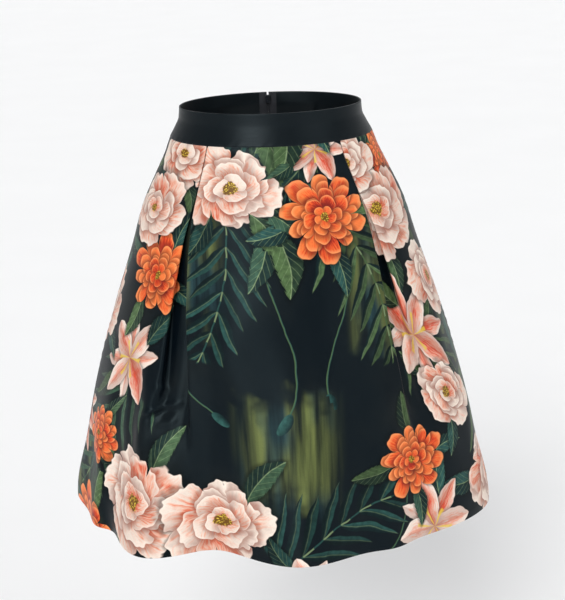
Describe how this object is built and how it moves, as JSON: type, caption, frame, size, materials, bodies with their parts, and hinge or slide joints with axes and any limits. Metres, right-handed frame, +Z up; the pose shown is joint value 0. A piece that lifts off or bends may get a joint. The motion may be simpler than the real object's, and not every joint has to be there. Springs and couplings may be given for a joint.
{
  "type": "a-line skirt",
  "caption": "Knee-length a-line skirt of dark floral satin, with inverted box pleats, a plain waistband and a concealed zip, in the hollow pose it takes when worn.",
  "frame": {"origin": "middle of the waist opening, level with the waistband's top edge", "axes": "+Z up out of the waist opening, -Y towards the skirt's front, +X to the right seen from the front (the wearer's left)"},
  "size_m": [0.5801, 0.4604, 0.56],
  "materials": {
    "printed_satin": "smooth satin with a large floral print on a dark navy ground, soft broad sheen",
    "band_satin": "plain dark navy satin, a little more matt than the skirt",
    "zip_tape": "woven polyester tape and nylon coil, matt",
    "zip_metal": "dark enamel, satin"
  },
  "bodies": {
    "skirt": {"skirt_front": "printed_satin", "skirt_back_left": "printed_satin", "skirt_back_right": "printed_satin", "waistband_front": "band_satin", "waistband_back_left": "band_satin", "waistband_back_right": "band_satin", "zip_tape": "zip_tape", "zip_slider": "zip_metal"},
    "pull": {"zip_pull": "zip_metal"}
  },
  "joints": [
    {"name": "pull_swing", "type": "hinge", "parent": "skirt", "child": "pull", "pos_m": [0, 0.08956, -0.009], "axis": [1, 0, 0], "range_deg": [0, 150]}
  ]
}
